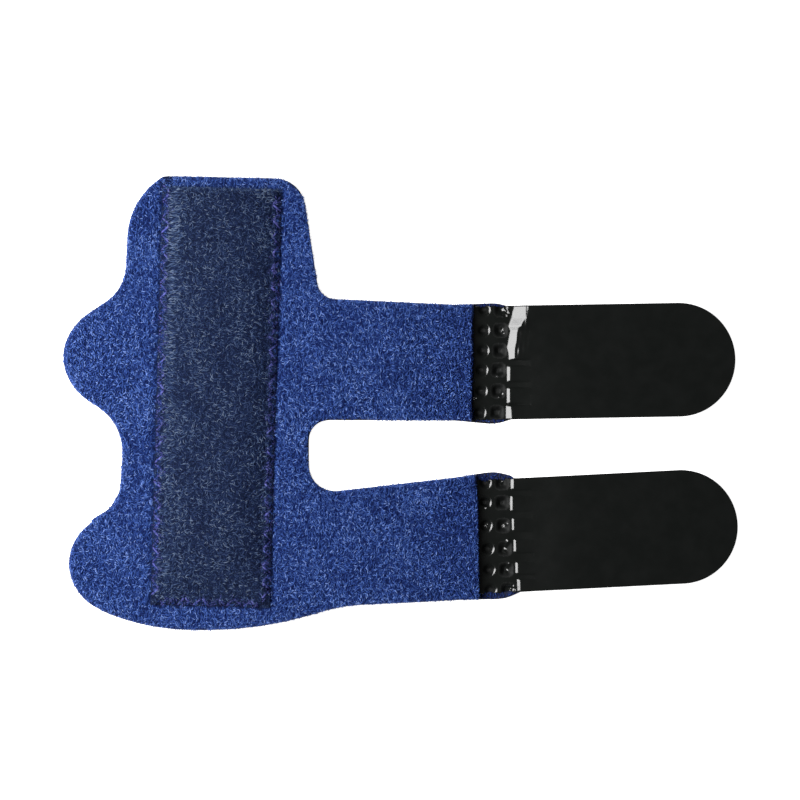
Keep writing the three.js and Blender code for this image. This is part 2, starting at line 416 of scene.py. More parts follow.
def strand_faces(rings, sides):
    """Triangles of one pointed strand."""
    faces = []
    last = 1 + rings * sides
    for side in range(sides):
        turn = (side + 1) % sides
        faces.append((0, 1 + turn, 1 + side))
        for ring in range(rings - 1):
            a = 1 + ring * sides + side
            b = 1 + ring * sides + turn
            faces.append((a, b, b + sides))
            faces.append((a, b + sides, a + sides))
        end = 1 + (rings - 1) * sides
        faces.append((last, end + side, end + turn))
    return np.array(faces)


def curled(places, heading, length, turn):
    """Flat curls centred on places, as (strand, point, xy)."""
    steps = CURL_POINTS - 1
    share = (np.arange(steps) + 0.5) / steps - 0.5
    way = heading[:, None] + turn[:, None] * share
    leg = np.stack([np.cos(way), np.sin(way)], 2) * (length / steps)[:, None, None]
    path = np.concatenate([np.zeros((len(places), 1, 2)), np.cumsum(leg, 1)], 1)
    return path - path.mean(1, keepdims=True) + places[:, None]


def laid_on(paths, surface, lift):
    """Flat paths raised to a surface, each point by its lift."""
    flat = paths.reshape(-1, 2)
    height = surface(flat).reshape(paths.shape[:2]) + lift
    return np.concatenate([paths, height[..., None]], 2)


# Materials

NOISE_DETAIL = 4
RAMP_SPAN = (0.35, 0.68)
BUMP_DISTANCE = 0.1 * MM
FIBRE_ROUGHNESS = 0.65
FIBRE_GLOSS = 0.1


def plain(name, colour, roughness, gloss):
    """A material of one colour, for strands whose mix makes the pattern."""
    material = bpy.data.materials.new(name)
    material.use_nodes = True
    shader = material.node_tree.nodes["Principled BSDF"]
    shader.inputs["Base Color"].default_value = (*colour, 1)
    shader.inputs["Roughness"].default_value = roughness
    shader.inputs["Specular IOR Level"].default_value = gloss
    return material


def mottled(name, colours, roughness, scale, bump, bump_scale, gloss):
    """A material whose colour runs between two by a fine noise, with a finer bump."""
    material = plain(name, colours[0], roughness, gloss)
    tree = material.node_tree
    shader = tree.nodes["Principled BSDF"]
    place = tree.nodes.new("ShaderNodeTexCoord")
    noise = tree.nodes.new("ShaderNodeTexNoise")
    noise.inputs["Scale"].default_value = scale
    noise.inputs["Detail"].default_value = NOISE_DETAIL
    ramp = tree.nodes.new("ShaderNodeValToRGB")
    for stop, position, colour in zip(ramp.color_ramp.elements, RAMP_SPAN, colours):
        stop.position = position
        stop.color = (*colour, 1)
    grain = tree.nodes.new("ShaderNodeTexNoise")
    grain.inputs["Scale"].default_value = bump_scale
    relief = tree.nodes.new("ShaderNodeBump")
    relief.inputs["Strength"].default_value = bump
    relief.inputs["Distance"].default_value = BUMP_DISTANCE
    tree.links.new(place.outputs["Object"], noise.inputs["Vector"])
    tree.links.new(place.outputs["Object"], grain.inputs["Vector"])
    tree.links.new(noise.outputs["Fac"], ramp.inputs["Fac"])
    tree.links.new(ramp.outputs["Color"], shader.inputs["Base Color"])
    tree.links.new(grain.outputs["Fac"], relief.inputs["Height"])
    tree.links.new(relief.outputs["Normal"], shader.inputs["Normal"])
    return material


def foam_material():
    colours = ((0.006, 0.006, 0.008), (0.014, 0.014, 0.017))
    return mottled(
        "foam", colours, roughness=0.9, scale=2500, bump=0.6, bump_scale=5000, gloss=0.3
    )


def blue_ground_material():
    colours = ((0.004, 0.011, 0.065), (0.012, 0.032, 0.14))
    return mottled(
        "blue_ground", colours, roughness=0.9, scale=1400, bump=0.8, bump_scale=4000, gloss=0.15
    )


def crushed_material():
    colours = ((0.004, 0.005, 0.012), (0.008, 0.016, 0.065))
    return mottled(
        "blue_crushed", colours, roughness=0.6, scale=1500, bump=0.8, bump_scale=3000, gloss=0.2
    )


def navy_ground_material():
    colours = ((0.003, 0.006, 0.022), (0.008, 0.016, 0.05))
    return mottled(
        "navy_ground", colours, roughness=0.9, scale=1400, bump=0.8, bump_scale=4000, gloss=0.15
    )


def plastic_material():
    colours = ((0.0037, 0.0044, 0.004), (0.0051, 0.0058, 0.0054))
    return mottled(
        "hook_plastic", colours, roughness=0.15, scale=400, bump=0.03, bump_scale=1500, gloss=0.45
    )


# Rough like a pressed face, and darker than the tab's plastic: the darker colour is painted shade in the
# pits
def pressed_shaded_material():
    colours = ((0.0022, 0.0026, 0.0024), (0.005, 0.0056, 0.0055))
    return mottled(
        "pressed_plastic_shaded", colours, roughness=0.6, scale=900, bump=0.6, bump_scale=2500, gloss=0.15
    )


def thread_material():
    colours = ((0.035, 0.04, 0.19), (0.085, 0.092, 0.38))
    return mottled(
        "seam_thread", colours, roughness=0.6, scale=3000, bump=0.3, bump_scale=6000, gloss=0.5
    )


def blue_fibres():
    shades = (
        (0.007, 0.018, 0.105),
        (0.017, 0.042, 0.19),
        (0.034, 0.077, 0.29),
        (0.075, 0.145, 0.43),
        (0.15, 0.24, 0.57),
    )
    return [plain(f"blue_fibre_{i}", shade, FIBRE_ROUGHNESS, FIBRE_GLOSS) for i, shade in enumerate(shades)]


def navy_fibres():
    shades = (
        (0.005, 0.011, 0.042),
        (0.012, 0.024, 0.077),
        (0.027, 0.049, 0.123),
        (0.062, 0.096, 0.185),
        (0.12, 0.162, 0.255),
    )
    return [plain(f"navy_fibre_{i}", shade, FIBRE_ROUGHNESS, FIBRE_GLOSS) for i, shade in enumerate(shades)]


# The stay pocket's surface

ARCH_POWER = 3
RIM_DROP = 0.2
RIM_DROP_RUN = 0.6
# Relief fields: height, length and seed
POCKET_RELIEF = (0.05, 7.0, 21)
GROUND_RELIEF = (0.06, 9.0, 5)
# How far the stitches pull the cloth down, and how wide, at the outer and the inner tips
OUTER_PULL = (0.7, 0.5)
INNER_PULL = (0.3, 0.4)
MOST_PULL = 0.6
NAP_PULL = 0.8
# Where the side seams start and stop and the foot seam starts, in from the pocket's corners
SEAM_START = 0.9
SEAM_STOP = 1.2
FOOT_SEAM_START = 1.6
TIP_JITTER = 0.07


def pocket_place(points):
    """(across, along) of points in the pocket's own frame, from its middle."""
    return turned(points - np.array(POCKET_CENTRE), -POCKET_LEAN)


def from_pocket(local):
    return turned(local, POCKET_LEAN) + np.array(POCKET_CENTRE)


def rim_inset(local):
    """Distance in from the pocket's rim, positive inside it."""
    return np.minimum(POCKET_HALF_WIDTH - np.abs(local[:, 0]), POCKET_HALF_LENGTH - np.abs(local[:, 1]))


def pocket_depth(points):
    return rim_inset(pocket_place(points))


def pocket_arch(local):
    side = 1 - np.minimum(1, np.abs(local[:, 0]) / ARCH_HALF) ** ARCH_POWER
    foot = ARCH_START - POCKET_HALF_LENGTH
    return POCKET_RISE * side * smooth(foot, foot + ARCH_RUN, local[:, 1])


def sewn_inset(local):
    """Distance in from the pocket's three sewn edges."""
    return np.minimum(POCKET_HALF_WIDTH - np.abs(local[:, 0]), local[:, 1] + POCKET_HALF_LENGTH)


def pocket_sheet(local):
    """Height of the pocket's ground without its stitches."""
    sewn = sewn_inset(local)
    flat = POCKET_SEAM_TOP + POCKET_SEAM_RISE * smooth(0, POCKET_SEAM_RUN, sewn)
    flat -= RIM_DROP * smooth(0, RIM_DROP_RUN, -sewn)
    return flat + pocket_arch(local) + waves(local, *POCKET_RELIEF)


def stitch_tips():
    """Needle points of the three seams in the pocket's frame: a list of alternating tips."""
    rng = np.random.default_rng(31)
    sides = []
    for side, extra in ((-1, EXTRA_LEGS), (1, 0)):
        first = POCKET_HALF_LENGTH - SEAM_START + extra * STITCH_LEG
        down = np.arange(first, -POCKET_HALF_LENGTH + SEAM_STOP, -STITCH_LEG)
        inset = np.where(np.arange(len(down)) % 2, STITCH_INNER, 0)
        sides.append(np.stack([side * (POCKET_HALF_WIDTH - inset), down], 1))
    across = np.arange(-POCKET_HALF_WIDTH + FOOT_SEAM_START, POCKET_HALF_WIDTH - SEAM_STOP, STITCH_LEG)
    inset = np.where(np.arange(len(across)) % 2, STITCH_INNER, 0)
    sides.append(np.stack([across, inset - POCKET_HALF_LENGTH], 1))
    return [tips + rng.normal(0, TIP_JITTER, tips.shape) for tips in sides]


def rim_holes(tips):
    """Where the thread bites at the pocket's rim: the outer tips."""
    return np.vstack([side[::2] for side in tips])


def stitch_pull(local, tips):
    """How far the stitches pull the pocket's ground down."""
    pull = np.zeros(len(local))
    for hole in rim_holes(tips):
        pull += OUTER_PULL[0] * bell(gaps_to(hole, local), OUTER_PULL[1])
    for side in tips:
        for tip in side[1::2]:
            pull += INNER_PULL[0] * bell(gaps_to(tip, local), INNER_PULL[1])
    return pull


# The panel


def panel_outline(frame):
    """The panel's cut edge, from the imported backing's underside."""
    rim = resampled(underside_rim(frame["nodes"]["body_backing"]), OUTLINE_STEP)
    return resampled(rim + UNDERSIDE_INSET * outward(rim), OUTLINE_STEP)


# Where each tab's press has cut off the nap, as pixels: y and x
CRUSH_LINES = {
    "upper": ((300, 474.4), (330, 473.6), (360, 474.3), (390, 473), (425, 473)),
    "lower": ((466, 474.5), (478, 477), (500, 479.3), (520, 479.9), (560, 480.2), (605, 480.8)),
}


STRAP_MESHED = 10.5
UNDER_TAB_INSET = 0.05
UNDER_TAB_RUN = 0.3
SEAM_DIP_RUN = 0.8
POCKET_STEP = (0.4, 1.6)


def crush(points):
    """1 where the press has crushed a strap under its tab, 0 away from it."""
    amount = np.zeros(len(points))
    x_px, y_px = pixels(points)
    for strap in STRAPS:
        line = np.array(CRUSH_LINES[strap.name])
        beyond = (x_px - np.interp(y_px, line[:, 0], line[:, 1])) / PIXELS_PER_MM
        along = smooth(CRUSH_START, CRUSH_END, beyond)
        across = strap.place(points)[:, 1]
        amount = np.maximum(amount, along * (np.abs(across) < STRAP_REACH))
    return amount


def under_tab(points):
    """1 under a tab and 0 outside it."""
    amount = np.zeros(len(points))
    for strap in STRAPS:
        local = strap.tab_place(points)
        inside = smooth(0, UNDER_TAB_RUN, TAB_HALF - UNDER_TAB_INSET - np.abs(local[:, 1]))
        amount = np.maximum(amount, inside * smooth(0, UNDER_TAB_RUN, local[:, 0]))
    return amount


def facing_ground(depth):
    """Height of the facing's ground, under its pile, as a function of the plane."""

    def height(points):
        ground = GROUND - EDGE_DROP * rolled(depth, points, EDGE_ROLL)
        ground += waves(points, *GROUND_RELIEF)
        inside = pocket_depth(points)
        ground -= SEAM_DIP * bell(inside, SEAM_DIP_RUN)
        ground += (UNDER_POCKET - ground) * smooth(*POCKET_STEP, inside)
        flat = CRUSHED_GROUND + (UNDER_TAB - CRUSHED_GROUND) * under_tab(points)
        return ground + (flat - ground) * crush(points)

    return height


def slope_points(depth, step, start, end):
    """Grid points over both straps' crushed ends."""
    found = []
    for strap in STRAPS:
        low = (strap.tab_start + start, -STRAP_MESHED)
        local = grid_points(low, (strap.tab_start + end, STRAP_MESHED), step)
        points = turned(local, strap.angle) + strap.origin
        found.append(points[depth(points) > step / 2])
    return np.vstack(found)


RING_SLACK = 0.08
# Steps of the plain meshes, rows in from a rim, and spans of the straps' slopes: step, start and end
PLAIN_STEP = 2.2
BACKING_ROWS = (0.12, 0.3)
BACKING_SLOPE = (0.5, -2, 1.8)
FACING_STEP = 0.62
FACING_ROWS = (0.12, 0.3, 0.55)
FACING_SLOPE = (0.3, -2.2, 7.4)
FACING_UNDER_ROWS = (0.3,)
FACING_UNDER_SLOPE = (0.6, -2, 1.8)
FACING_SLACK = 0.04
FACING_KEPT = 0.3
LAYER_LAP = 0.02
BACKING_EDGE = 0.3
BACKING_ROUND = 0.12
BACKING_UNDER_ROUND = 0.22
CRUSHED_FROM = 0.75


def rings_inside(loop, depth, insets):
    """Rows of points that follow a loop inside it."""
    normal = outward(loop)
    rows = []
    for inset in insets:
        row = loop - inset * normal
        rows.append(row[depth(row) > inset - RING_SLACK])
    return np.vstack(rows)


def filled(loop, depth, step, insets):
    """Points for a layer: rows along its rim and a grid within."""
    grid = grid_points(loop.min(0), loop.max(0), step)
    grid = grid[depth(grid) > insets[-1] + step / 2]
    return np.vstack([rings_inside(loop, depth, insets), grid])


def rolled(depth, points, edge):
    """0 inside an edge to 1 at its rim, as a quarter round."""
    near = np.clip(1 - depth(points) / edge, 0, 1)
    return 1 - np.sqrt(1 - near**2)


def backing_piece(loop, depth, foam):
    def top(points):
        height = BACKING_TOP - BACKING_ROUND * rolled(depth, points, BACKING_EDGE)
        return height + (CRUSHED_BACKING - height) * crush(points)

    def bottom(points):
        return BACKING_UNDER_ROUND * rolled(depth, points, BACKING_EDGE)

    lower = filled(loop, depth, PLAIN_STEP, BACKING_ROWS)
    upper = np.vstack([lower, slope_points(depth, *BACKING_SLOPE)])
    return layer_mesh("foam_backing", loop, upper, lower, top, bottom, [foam])


# Places where the facing is cut short of the foam, so that a black rim shows from above; the last two, at
# the upper strap's lower edge by the weld, bare the black foam as painted shade:
# pixel, reach of the place and how far the facing stands back
BARE_AND_SHADED_RIMS = (
    ((309, 430), 2.0, 0.3),
    ((309, 446), 2.5, 0.28),
    ((316, 423), 2.2, 0.3),
    ((335, 420), 3.6, 0.22),
    ((354, 420), 3.0, 0.15),
    ((297, 186), 1.3, 0.35),
    ((293, 183), 1.0, 0.3),
    ((165, 179), 1.0, 0.3),
    # Painted shade: bared black foam along the upper strap's lower edge by the weld
    ((492, 422), 4.0, 0.3),
    ((474, 422), 2.5, 0.25),
)
# Places where the facing hangs over the foam's edge, in the same terms
FULL_RIMS = (
    ((64, 357), 4.5, 0.3),
    ((70, 562), 5.0, 0.14),
    ((115, 502), 1.6, 0.25),
)


FACING_OUT = 0.02
MOST_BARE = 0.4


def facing_loop(outline):
    """The facing's cut edge: further in than the foam's where that shows, out where it's full."""
    inset = np.full(len(outline), -FACING_OUT)
    for pixel, reach, amount in FULL_RIMS:
        inset -= amount * bell(gaps_to(photo(*pixel), outline), reach)
    for pixel, reach, amount in BARE_AND_SHADED_RIMS:
        inset += amount * bell(gaps_to(photo(*pixel), outline), reach)
    return outline - np.minimum(inset, MOST_BARE)[:, None] * outward(outline)


def facing_piece(outline, depth, ground, materials):
    loop = facing_loop(outline)

    def slack(points):
        return depth(points) - FACING_SLACK

    def bottom(points):
        return BACKING_TOP + (CRUSHED_BACKING - BACKING_TOP) * crush(points) - LAYER_LAP

    rows = filled(loop, slack, FACING_STEP, FACING_ROWS)
    upper = np.vstack([rows, slope_points(depth, *FACING_SLOPE)])
    upper = upper[depth(upper) > FACING_KEPT * depth(loop).max()]
    rows = filled(loop, slack, PLAIN_STEP, FACING_UNDER_ROWS)
    lower = np.vstack([rows, slope_points(depth, *FACING_UNDER_SLOPE)])
    piece = layer_mesh("blue_facing", loop, upper, lower, ground, bottom, materials)
    crushed = crush(face_middles(piece.data)) > CRUSHED_FROM
    piece.data.polygons.foreach_set("material_index", crushed.astype(np.int32))
    return piece


# Blue nap: spacing, gaps to the rim, the pocket and the stitch holes, and what the press leaves
NAP_STEP = 0.24
NAP_RIM_GAP = 0.12
NAP_POCKET_GAP = 0.1
NAP_HOLE_GAP = 0.5
NAP_SEAM_REACH = 0.8
PRESSED_FROM = 0.8
FLAT_FROM = 0.95
CLEAR_OF_TAB = 0.02
PRESSED_SHARE = 0.6
PRESSED_DROP = 0.6
# Heading and its spread, length as mean, spread, least and most, and the curl
NAP_SWIRL = (0.7, 4.0, 42)
NAP_SPREAD = 0.75
NAP_LENGTH = (0.74, 0.22)
NAP_LENGTH_LIMITS = (0.35, 1.5)
NAP_RIM_LENGTH = (0.5, 1.6)
NAP_CURL = 1.5
# Lift of the strands: least and range, then the same for their arch
NAP_LIFT = (0.02, 0.26)
NAP_ARCH = (0.2, 0.2)
NAP_RADIUS = (0.048, 0.074)
# Tone: two relief fields, spread, share of the height (painted light: higher strands lighter), of flattened
# strands and of the frame's x (painted shade: darker towards the right, away from the key light)
NAP_TONE_FINE = (0.34, 1.1, 43)
NAP_TONE_WIDE = (0.16, 8.0, 44)
NAP_TONE_SPREAD = 0.98
NAP_LIT_HEIGHT_TONE = 1.1
NAP_TONE_FLAT = 1.5
NAP_SHADE_TO_RIGHT = 0.35
NAP_SHADE_RUN = 10
NAP_TONE_STEPS = (-0.95, -0.1, 0.85, 1.75)
NAP_BANDS = 3


def main_pile(outline_box, depth, ground, tips, fibres):
    """The blue brushed pile, in pieces of one band each."""
    rng = np.random.default_rng(41)
    low, high = outline_box
    places = scattered(low, high, NAP_STEP, rng)
    inner = depth(places)
    in_pocket = pocket_depth(places)
    keep = (inner > NAP_RIM_GAP) & (in_pocket < -NAP_POCKET_GAP)
    pressed = crush(places)
    left = (under_tab(places) < CLEAR_OF_TAB) & (rng.random(len(places)) < PRESSED_SHARE)
    keep &= (pressed < PRESSED_FROM) | left
    near_pocket = np.flatnonzero(keep & (in_pocket > -NAP_SEAM_REACH))
    gaps = np.linalg.norm(pocket_place(places[near_pocket])[:, None] - rim_holes(tips), axis=2).min(1)
    keep[near_pocket[gaps < NAP_HOLE_GAP]] = False
    places, inner, pressed = places[keep], inner[keep], pressed[keep]
    count = len(places)
    heading = math.pi / 2 + waves(places, *NAP_SWIRL) + rng.normal(0, NAP_SPREAD, count)
    length = np.clip(rng.normal(*NAP_LENGTH, count), *NAP_LENGTH_LIMITS)
    length = np.minimum(length, NAP_RIM_LENGTH[0] + NAP_RIM_LENGTH[1] * inner)
    paths = curled(places, heading, length, rng.normal(0, NAP_CURL, count))
    height = rng.uniform(0, 1, count)
    lift = nap_lift(rng, height, NAP_LIFT, NAP_ARCH) * (1 - PRESSED_DROP * pressed)[:, None]
    paths = laid_on(paths, ground, lift)
    # Painted light and shade: higher strands lighter, and strands darker towards the frame's right, away
    # from the key light
    tone = waves(places, *NAP_TONE_FINE) + waves(places, *NAP_TONE_WIDE)
    tone += rng.normal(0, NAP_TONE_SPREAD, count) + NAP_LIT_HEIGHT_TONE * (height - 0.5)
    tone -= NAP_TONE_FLAT * (pressed > FLAT_FROM) + NAP_SHADE_TO_RIGHT * smooth(0, NAP_SHADE_RUN, places[:, 0])
    radius = rng.uniform(*NAP_RADIUS, count)
    return banded("blue_pile", paths, radius, fibres, np.digitize(tone, NAP_TONE_STEPS), NAP_BANDS)


FREE_END_SHARE = 0.35
FREE_END_POWER = 0.8
NAP_SIDES = 3


def arch_lift(rng, count):
    """How each point of a strand stands up: most are loops, some have a free end."""
    share = np.linspace(0, 1, CURL_POINTS)
    loop = 4 * share * (1 - share)
    loose = rng.random(count)[:, None] < FREE_END_SHARE
    return np.where(loose, share**FREE_END_POWER, loop)


def nap_lift(rng, height, base, arch):
    """Lift of each strand's points, from its height in the nap."""
    low = (base[0] + base[1] * height)[:, None]
    return low + arch_lift(rng, len(height)) * (arch[0] + arch[1] * height)[:, None]


def banded(name, paths, radius, fibres, shade, bands):
    """Strands split into bands along the frame's x, each a piece of its own."""
    order = np.argsort(paths[:, 0, 0])
    pieces = []
    for number, chosen in enumerate(np.array_split(order, bands), 1):
        radii = radius[chosen][:, None]
        piece = strand_mesh(f"{name}_{number}", paths[chosen], radii, NAP_SIDES, fibres, shade[chosen])
        pieces.append(piece)
    return pieces


# Fringe: count, place across and along the edge, length, curl, droop and tone, whose mean is set pale as
# painted light on the edge fibres
FRINGE_COUNT = 3200
FRINGE_ACROSS = (-0.02, 0.34)
FRINGE_ALONG = 0.2
FRINGE_BARE = 0.35
FRINGE_SPREAD = 0.9
FRINGE_LENGTH = (0.4, 0.85)
FRINGE_CURL = 1.2
FRINGE_DROOP = 0.5
FRINGE_LIFT = 0.1
FRINGE_LIT_TONE = (0.5, 1)
FRINGE_TONE_STEPS = (-1.2, -0.4, 0.4, 1.4)
FRINGE_RADIUS = 0.05


def fringe(outline, ground, fibres):
    """Fibres that stand out of the facing's cut edge."""
    rng = np.random.default_rng(51)
    pick = rng.integers(0, len(outline), FRINGE_COUNT)
    normal = outward(outline)[pick]
    along = np.stack([-normal[:, 1], normal[:, 0]], 1)
    places = outline[pick] - rng.uniform(*FRINGE_ACROSS, (FRINGE_COUNT, 1)) * normal
    places += rng.uniform(-FRINGE_ALONG, FRINGE_ALONG, (FRINGE_COUNT, 1)) * along
    bare = np.zeros(FRINGE_COUNT)
    for pixel, reach, _ in BARE_AND_SHADED_RIMS:
        bare = np.maximum(bare, bell(gaps_to(photo(*pixel), places), reach))
    keep = (crush(places) < 0.5) & (bare < FRINGE_BARE)
    places, normal = places[keep], normal[keep]
    count = len(places)
    heading = np.arctan2(normal[:, 1], normal[:, 0]) + rng.normal(0, FRINGE_SPREAD, count)
    length = rng.uniform(*FRINGE_LENGTH, count)
    paths = curled(places, heading, length, rng.normal(0, FRINGE_CURL, count))
    drop = -rng.uniform(0, FRINGE_DROOP, count)[:, None] * np.linspace(0, 1, CURL_POINTS)
    paths = laid_on(paths, ground, FRINGE_LIFT + drop)
    # Painted light: the fringe's strands lean to the paler blues
    shade = np.digitize(rng.normal(*FRINGE_LIT_TONE, count), FRINGE_TONE_STEPS)
    return strand_mesh("edge_fringe", paths, FRINGE_RADIUS, NAP_SIDES, fibres, shade)


# The pocket


# The pocket's mesh: fine steps along its sewn rims, wider ones within, and its thickness
POCKET_FINE_STEP = 0.25
POCKET_FINE_REACH = 2.0
POCKET_WIDE_FROM = 2.55
POCKET_WIDE_COLUMNS = 15
POCKET_WIDE_ROWS = 190
POCKET_LAP = 0.05
POCKET_THICKER = 0.1
POCKET_THINNEST = 0.12


def pocket_piece(tips, materials):
    """A closed sheet, arched over a flat hollow that is open at the upper end."""
    fine = np.arange(0, POCKET_FINE_REACH + POCKET_FINE_STEP / 2, POCKET_FINE_STEP)
    wide = np.linspace(POCKET_WIDE_FROM, POCKET_HALF_WIDTH, POCKET_WIDE_COLUMNS)
    half = POCKET_HALF_WIDTH - np.r_[fine, wide]
    across = np.r_[-half, half[-2::-1]]
    fine_end = -POCKET_HALF_LENGTH + POCKET_FINE_REACH
    fine = np.arange(-POCKET_HALF_LENGTH, fine_end, POCKET_FINE_STEP)
    along = np.r_[fine, np.linspace(fine_end, POCKET_HALF_LENGTH, POCKET_WIDE_ROWS)]
    local = np.stack(np.meshgrid(across, along), 2).reshape(-1, 2)
    plan = from_pocket(local)
    top = pocket_sheet(local) - np.minimum(stitch_pull(local, tips), MOST_PULL)
    below = top - POCKET_WALL - POCKET_THICKER * smooth(0, 1, sewn_inset(local))
    below = np.minimum(np.maximum(UNDER_POCKET - POCKET_LAP, below), top - POCKET_THINNEST)
    vertices = np.vstack([np.column_stack([plan, top]), np.column_stack([plan, below])])
    triangles = closed_grid(len(across), len(along))
    piece = triangle_mesh("stay_pocket_cloth", vertices, triangles, materials)
    piece.data.set_sharp_from_angle(angle=SHARP_POCKET)
    return piece


def closed_grid(columns, rows):
    """Triangles of two grids of points joined round their rims; the first is the upper."""
    layer = columns * rows
    place = np.arange(layer).reshape(rows, columns)
    a, b = place[:-1, :-1].ravel(), place[:-1, 1:].ravel()
    c, d = place[1:, 1:].ravel(), place[1:, :-1].ravel()
    upper = np.vstack([np.stack([a, b, c], 1), np.stack([a, c, d], 1)])
    rim = np.r_[place[0, :-1], place[:-1, -1], place[-1, :0:-1], place[:0:-1, 0]]
    return np.vstack([upper, upper[:, ::-1] + layer, rim_wall(rim, layer)])


def pocket_surface(tips):
    def height(points):
        local = pocket_place(points)
        return pocket_sheet(local) - NAP_PULL * np.minimum(stitch_pull(local, tips), MOST_PULL)

    return height


def sewn_surface(tips, ground):
    """The pocket's surface, and the facing's beyond the mouth."""
    pocket = pocket_surface(tips)

    def height(points):
        past = pocket_place(points)[:, 1] > POCKET_HALF_LENGTH
        return np.where(past, ground(points) + NAP_RISE, pocket(points))

    return height


# Navy nap, in the blue nap's terms
NAVY_STEP = 0.262
NAVY_RIM_GAP = 0.08
NAVY_MOST_PULL = 0.45
NAVY_SEAM = (0.8, 1.3)
NAVY_SWIRL = (0.6, 3.0, 62)
NAVY_LENGTH_LIMITS = (0.4, 1.8)
NAVY_RIM_LENGTH = (0.4, 1.8)
NAVY_CURL = 1.0
NAVY_LIFT = (0.02, 0.2)
NAVY_ARCH = (0.15, 0.15)
NAVY_RADIUS = (0.04, 0.06)
NAVY_TONE_FINE = (0.42, 1.1, 63)
NAVY_TONE_WIDE = (0.18, 6.0, 64)
NAVY_TONE_SPREAD = 1.05
NAVY_TONE_DARKER = 0.15
NAVY_SHADE_TO_RIGHT = 0.02
NAVY_TONE_STEPS = (-0.8, 0.05, 0.95, 1.85)
NAVY_BANDS = 2
# What the seam takes from length, lift and tone (the tone as painted shade in the stitched creases), and
# what combing changes (a lighter tone as painted light)
SEAM_SHORTER = 0.35
SEAM_LOWER = 0.45
SEAM_PAINTED_SHADE = 0.6
COMBED_REACH = 1.3
COMBED_ALIGNED = 0.75
COMBED_LONGER = 0.35
COMBED_PAINTED_LIGHT = 0.7


def pocket_pile(tips, fibres):
    """The navy brushed pile, in pieces of one band each."""
    rng = np.random.default_rng(61)
    high = np.array([POCKET_HALF_WIDTH, POCKET_HALF_LENGTH])
    local = scattered(-high, high, NAVY_STEP, rng)
    local = local[(rim_inset(local) > NAVY_RIM_GAP) & (stitch_pull(local, tips) < NAVY_MOST_PULL)]
    count = len(local)
    in_seam = 1 - smooth(*NAVY_SEAM, sewn_inset(local))
    upper = smooth(*COMBED_DOWN_TO, local[:, 1])
    combed = bell(local[:, 0] + COMBED_AT, COMBED_REACH)
    combed *= COMBED_LEFT_BELOW + (1 - COMBED_LEFT_BELOW) * upper
    heading = waves(local, *NAVY_SWIRL) + rng.normal(0, NAP_SPREAD, count)
    heading *= 1 - COMBED_ALIGNED * combed
    length = rng.normal(*NAP_LENGTH, count) + COMBED_LONGER * combed
    length = np.clip(length, *NAVY_LENGTH_LIMITS) * (1 - SEAM_SHORTER * in_seam)
    length = np.minimum(length, NAVY_RIM_LENGTH[0] + NAVY_RIM_LENGTH[1] * rim_inset(local))
    paths = curled(from_pocket(local), heading, length, rng.normal(0, NAVY_CURL, count))
    height = rng.uniform(0, 1, count)
    lift = nap_lift(rng, height, NAVY_LIFT, NAVY_ARCH) * (1 - SEAM_LOWER * in_seam)[:, None]
    paths = laid_on(paths, pocket_surface(tips), lift)
    # Painted light and shade: higher strands lighter, strands darker in the seams' creases and towards the
    # pocket's right, away from the key light, and lighter where combed on the lit left slope
    tone = waves(local, *NAVY_TONE_FINE) + waves(local, *NAVY_TONE_WIDE)
    tone += rng.normal(0, NAVY_TONE_SPREAD, count) + (height - 0.5) - SEAM_PAINTED_SHADE * in_seam
    tone += COMBED_PAINTED_LIGHT * combed - NAVY_TONE_DARKER - NAVY_SHADE_TO_RIGHT * local[:, 0]
    radius = rng.uniform(*NAVY_RADIUS, count)
    return banded("navy_pile", paths, radius, fibres, np.digitize(tone, NAVY_TONE_STEPS), NAVY_BANDS)


# A stitch's leg: points, sides, lift, and how deep and how sharply each end goes in
LEG_POINTS = 8
LEG_SIDES = 6
LEG_LIFT = (0.02, 0.22)
LEG_OUTER_DIP = (0.75, 2.2)
LEG_INNER_DIP = (0.4, 9)


def seam_piece(tips, thread):
    """The zigzag thread: one buried-ended leg between each pair of tips."""
    rng = np.random.default_rng(32)
    legs = []
    share = np.linspace(0, 1, LEG_POINTS)
    for side in tips:
        for number, (a, b) in enumerate(zip(side[:-1], side[1:])):
            flat = a + (b - a) * share[:, None]
            inward = share if number % 2 == 0 else 1 - share
            height = pocket_sheet(flat) + rng.uniform(*LEG_LIFT)
            height -= LEG_OUTER_DIP[0] * (1 - inward) ** LEG_OUTER_DIP[1]
            height -= LEG_INNER_DIP[0] * inward ** LEG_INNER_DIP[1]
            legs.append(np.column_stack([from_pocket(flat), height]))
    return strand_mesh("zigzag_seam", np.array(legs), THREAD_RADIUS, LEG_SIDES, [thread])


FUZZ_SPREAD = 0.34
FUZZ_LENGTH = (0.35, 0.75)
FUZZ_CURL = 1.5
FUZZ_LIFT = (0.02, 0.2)
FUZZ_ARCH = 0.12
FUZZ_RADIUS = 0.045
# How far in the fuzz turns navy, at the left seam and at the others
FUZZ_NAVY_FROM = (0.95, 0.55)


